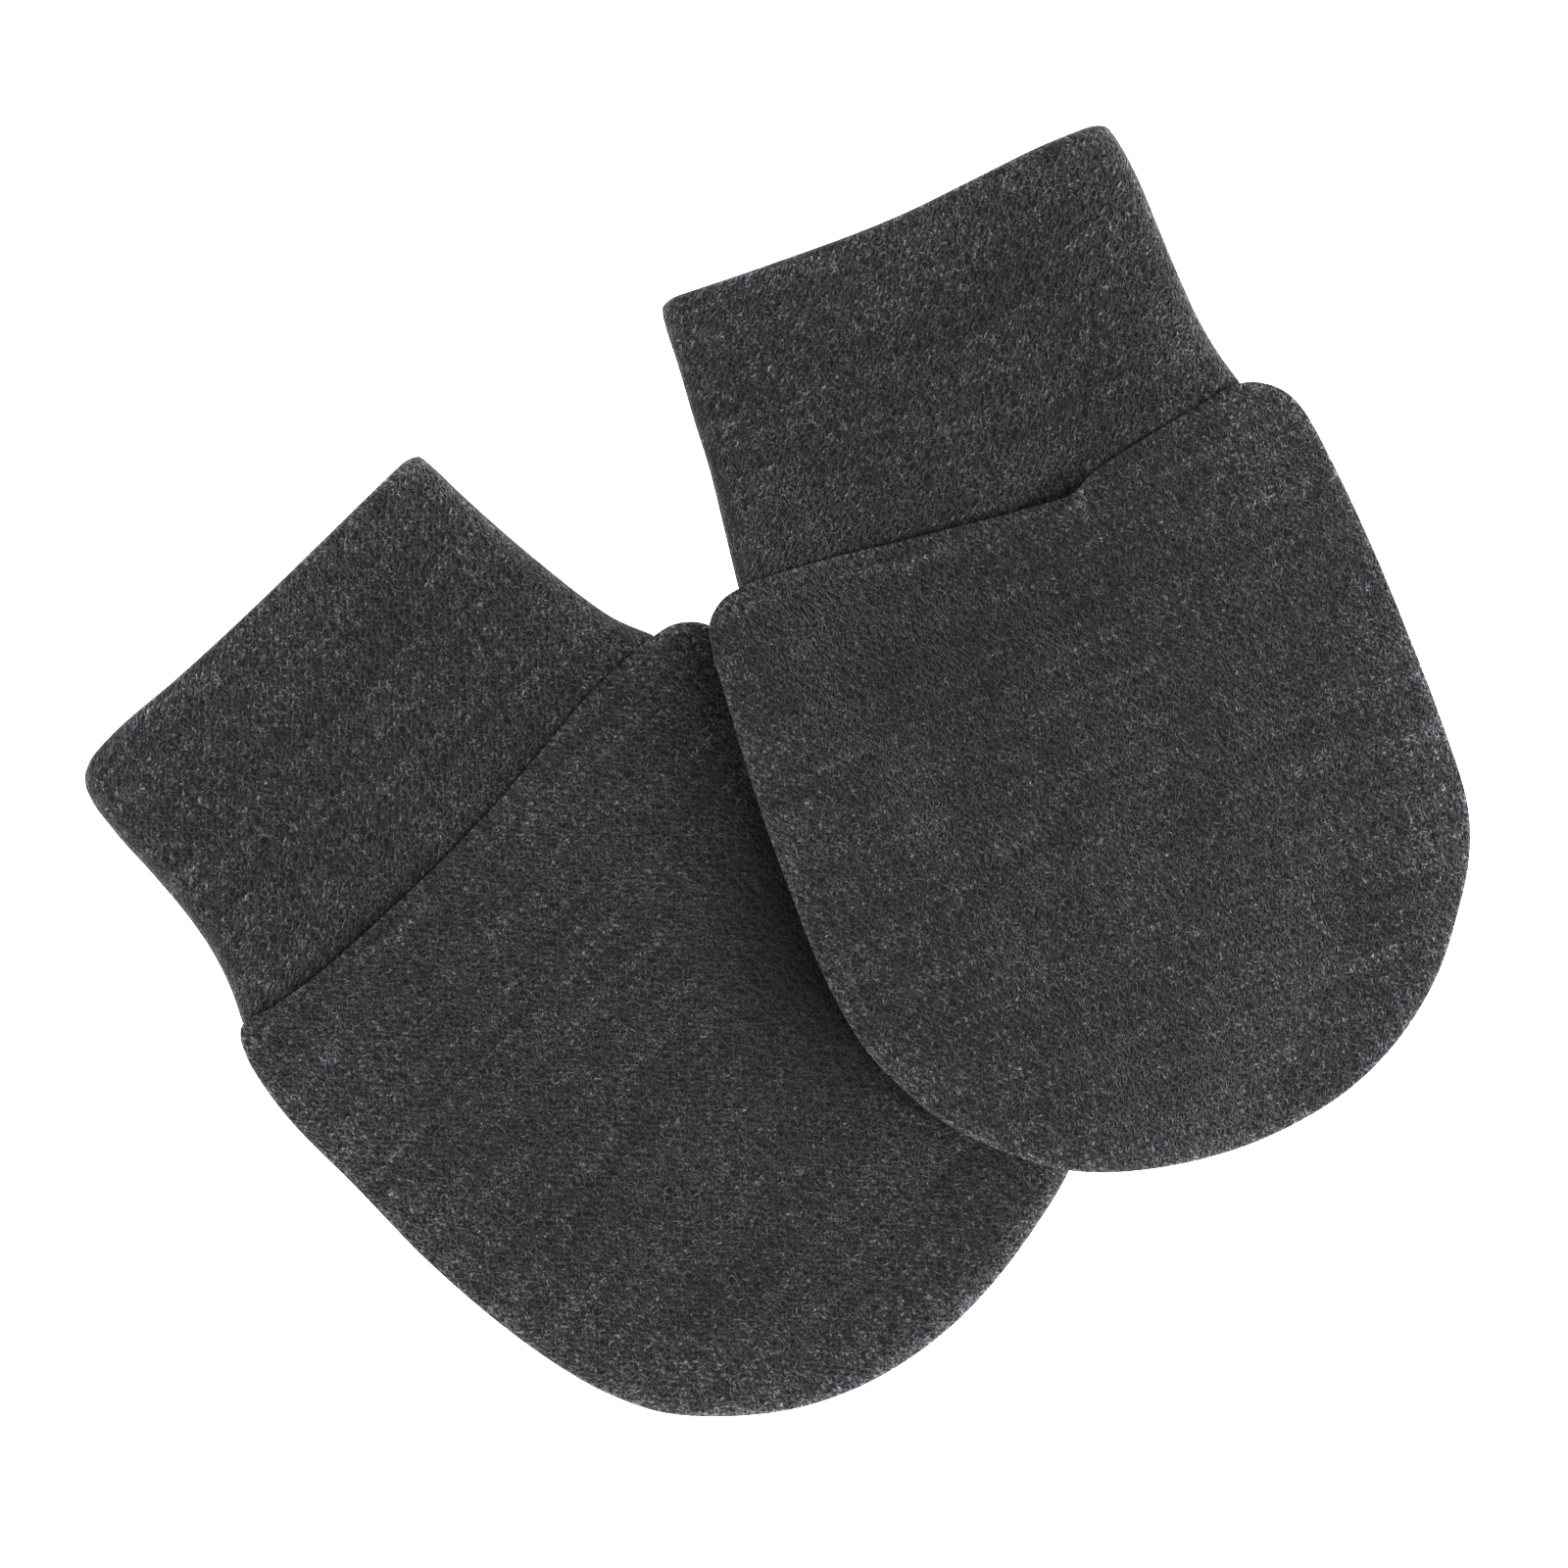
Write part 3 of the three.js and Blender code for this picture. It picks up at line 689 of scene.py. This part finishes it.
# The cuff of each mitten is a strip of the same jersey, 75 mm wide, sewn into a ring and folded double.
# The fold is the opening, and the raw edges are sewn inside the pouch's mouth, which holds them down.
cuff_wall = 1.5
cuff_slit = 0.3
cuff_height = 3.3
press_length = 5.0
fold_puff = 0.25
fold_puff_length = 5.0
shoulder_drop = (0.3, 0.8)
shoulder_width = 8.0
cuff_slack = 0.3
cuff_end_taper = 0.5
cuff_wale = 0.86
cuff_course = 0.89
wales_round = 128
flat_steps = 72
arc_steps = 12

left.opening = columns(
    "across along",
    (-23.0, -31.6),
    (-19.0, -31.9),
    (-10.0, -31.5),
    (24.0, -31.6),
)
left.cuff = columns(
    "along left right",
    (-31.6, 22.7, 23.9),
    (-30.9, 23.8, 24.7),
    (-30.0, 24.6, 24.9),
    (-28.8, 25.1, 25.0),
    (-24.7, 25.7, 25.2),
    (-18.5, 25.9, 25.7),
    (-12.4, 26.3, 26.4),
    (-8.2, 27.0, 27.0),
    (-4.1, 28.2, 27.9),
    (0.0, 29.9, 29.7),
)
right.opening = columns(
    "across along",
    (-24.5, -31.3),
    (-14.0, -30.7),
    (2.0, -30.4),
    (10.0, -31.0),
    (18.0, -31.6),
    (24.5, -31.6),
)
right.cuff = columns(
    "along left right",
    (-31.2, 24.7, 24.1),
    (-30.7, 25.4, 24.8),
    (-30.0, 25.7, 25.2),
    (-28.8, 25.9, 25.5),
    (-24.7, 26.2, 26.0),
    (-18.5, 26.8, 26.1),
    (-12.4, 27.3, 26.2),
    (-8.2, 27.9, 26.4),
    (-4.1, 28.5, 27.0),
    (0.0, 29.1, 28.0),
)

cuff_knit = knit("charcoal_cuff_knit", cuff_wale, cuff_course, 0.0196)


def read(places, values, at):
    """A smooth reading of a table: between two rows, the cubic that has the table's slope at both."""
    slopes = np.gradient(values, places)
    at = np.clip(at, places[0], places[-1])
    row = np.clip(np.searchsorted(places, at) - 1, 0, len(places) - 2)
    span = places[row + 1] - places[row]
    t = (at - places[row]) / span
    start, end = slopes[row] * span, slopes[row + 1] * span
    rise = values[row + 1] - values[row]
    square = 3 * rise - 2 * start - end
    cube = start + end - 2 * rise
    return values[row] + start * t + square * t ** 2 + cube * t ** 3


def cuff_section(left_side, right_side, bottom, top):
    """A flat tube's section: straight across the top from left to right, round the right side in a half
    circle, straight back beneath, and round the left side."""
    radius = (top - bottom) / 2
    straight = np.arange(flat_steps) / flat_steps
    arc = np.pi * np.arange(arc_steps) / arc_steps
    start, end = radius - left_side, right_side - radius
    x = [
        lerp(start, end, straight),
        end + radius * np.sin(arc),
        lerp(end, start, straight),
        start - radius * np.sin(arc),
    ]
    z = [
        top + 0 * straight,
        bottom + radius * (1 + np.cos(arc)),
        bottom + 0 * straight,
        bottom + radius * (1 - np.cos(arc)),
    ]
    return np.hstack(x), np.hstack(z)


def cuff_points(mitten, seed):
    """Sections from the inner face's end out to the fold at the opening, round it in a half circle and
    back over the outer face to the end in the mouth. The cloth's coordinates go round and along."""
    opening = mitten.cuff.along[0]
    length = mouth_overhang - opening
    fold = cuff_wall / 2
    outer_back = np.linspace(length, fold, 56)
    turned = np.linspace(0, np.pi, 11)[1:-1]
    inner_back = np.linspace(fold, length, 14)
    back = np.concatenate([outer_back, fold * (1 - np.sin(turned)), inner_back])[::-1, None]
    depth = np.concatenate([0 * outer_back, (1 - np.cos(turned)) / 2, 0 * inner_back + 1])[::-1, None]

    along = opening + back
    side_inset = depth * (cuff_wall + cuff_slit) + cuff_end_taper * np.maximum(0, along) / mouth_overhang
    puff = fold_puff * (1 - smoothstep(back, 0, fold_puff_length))
    pressed = smoothstep(along, -press_length, 0)
    wall = lerp(cuff_wall, cuff_end_wall, pressed)
    top = cuff_height + puff - depth * (wall + puff)
    left_side = read(mitten.cuff.along, mitten.cuff.left, along) - side_inset
    right_side = read(mitten.cuff.along, mitten.cuff.right, along) - side_inset
    x, z = cuff_section(left_side, right_side, depth * wall, top)
    upper = smoothstep(z, 0.2 * cuff_height, 0.5 * cuff_height) * (1 - smoothstep(depth, 0.4, 0.8))
    opening_along = read(mitten.opening.across, mitten.opening.along, x)
    end_along = read(mitten.mouth.across, mitten.mouth.along, x) + mouth_overhang
    y = -lerp(opening_along, end_along, back / length)
    press = pressed * (cuff_height - np.interp(x, mitten.step.across, mitten.step.cuff))
    left_shoulder = shoulder_drop[0] * (1 - smoothstep(x + left_side, 0, shoulder_width))
    right_shoulder = shoulder_drop[1] * (1 - smoothstep(right_side - x, 0, shoulder_width))
    flat = np.stack([x, y], axis=-1)
    sunk = cuff_slack * unevenness(flat, seed) + left_shoulder + right_shoulder
    sunk = sunk * (1 - pressed) * smoothstep(back, 0, 3)
    on_top = (z / cuff_height * (1 - depth)) ** 2
    z = z - z / cuff_height * press - on_top * (sunk + depth_of(mitten.creases, flat))

    points = np.dstack([x, y, z])
    around = points.shape[1]
    u = np.arange(around + 1) / around * wales_round * cuff_wale
    walk = np.linalg.norm(np.diff(points[:, flat_steps // 2], axis=0), axis=1)
    v = np.concatenate([[0], np.cumsum(walk), [walk.sum() + 2 * cuff_wall]])
    cloth = np.stack(np.meshgrid(u, v), axis=-1)
    # Painted light on the cuff: a painted highlight along the fold and both sides, mostly on the upper
    # face, less the patches of painted shade.
    highlight_share = painted_rim_highlight(back + 0 * x) + painted_rim_highlight(x + left_side) + painted_rim_highlight(right_side - x)
    painted_light = mitten.rim_highlight * lerp(highlight_below, 1, upper) * highlight_share
    return points, cloth, painted_light - (1 - depth) * depth_of(mitten.laid, flat)


for mitten, beneath, seed in ((left, (), 21), (right, ("left_back",), 22)):
    points, cloth, painted_light = cuff_points(mitten, seed)
    points[..., 2] += lift(mitten, points)
    cuff = shell(f"{mitten.name}_cuff_jersey", mitten, points, cloth, painted_light)
    cuff.data.materials.append(cuff_knit)
    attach(cuff, "root")
    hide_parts(f"{mitten.name}_cuff")


# The mittens lie on a plain white table, which glows so that it reads as paper white.
# Two soft boxes stand at the lower right, the small one low enough for the right mitten to shade the left
# one beside it, and a third at the upper left lights the rims on that side.
table_size = 6.0
mesh = bpy.data.meshes.new("table_top")
half = table_size / 2
corners = [(-half, -half, 0), (half, -half, 0), (half, half, 0), (-half, half, 0)]
mesh.from_pydata(corners, [], [(0, 1, 2, 3)])
table = bpy.data.objects.new("table_top", mesh)
bpy.context.collection.objects.link(table)
paper = bpy.data.materials.new("white_paper")
paper.use_nodes = True
paper_shader = paper.node_tree.nodes["Principled BSDF"]
paper_shader.inputs["Base Color"].default_value = (0.85, 0.85, 0.85, 1)
paper_shader.inputs["Roughness"].default_value = 0.9
paper_shader.inputs["Emission Color"].default_value = (1, 1, 1, 1)
paper_shader.inputs["Emission Strength"].default_value = 2.6
table.data.materials.append(paper)


def soft_box(name, azimuth, elevation, distance, size, power):
    """A square light that faces the middle of the pair, at an azimuth from +X and a height angle."""
    light = bpy.data.lights.new(name, "AREA")
    light.size = size
    light.energy = power
    lamp = bpy.data.objects.new(name, light)
    a, e = math.radians(azimuth), math.radians(elevation)
    ground = distance * math.cos(e)
    lamp.location = (ground * math.cos(a), ground * math.sin(a), distance * math.sin(e))
    lamp.rotation_euler = (math.pi / 2 - e, 0, a + math.pi / 2)
    lamp.visible_camera = False
    bpy.context.collection.objects.link(lamp)
    return lamp


soft_box("key_box", -34, 28, 0.8, 0.55, 9.5)
soft_box("low_box", -18, 14, 0.8, 0.30, 7.0)
soft_box("left_box", 160, 10, 0.9, 0.30, 5.5)

world = bpy.data.worlds.new("white_room")
world.use_nodes = True
world.node_tree.nodes["Background"].inputs["Color"].default_value = (1, 1, 1, 1)
world.node_tree.nodes["Background"].inputs["Strength"].default_value = 0.45
bpy.context.scene.world = world
bpy.context.scene.view_settings.view_transform = "Standard"
bpy.context.scene.view_settings.look = "None"


# The camera looks straight down from far off, so that heights of a few millimetres don't lean outwards.
# One pixel of the photograph is 0.103 mm on the table, and the pair sits a little off its centre.
photo_side = 1600
pixel = 0.103 * mm
picture_middle = (0.00069, -0.00139)
camera_height = 1.5
camera_data = bpy.data.cameras.new("camera")
camera_data.sensor_width = 36.0
camera_data.lens = camera_data.sensor_width * camera_height / (photo_side * pixel)
camera = bpy.data.objects.new("camera", camera_data)
camera.location = (*picture_middle, camera_height + pouch_height * mm)
camera_data.clip_start = 0.05
camera_data.clip_end = 20
bpy.context.collection.objects.link(camera)
bpy.context.scene.camera = camera
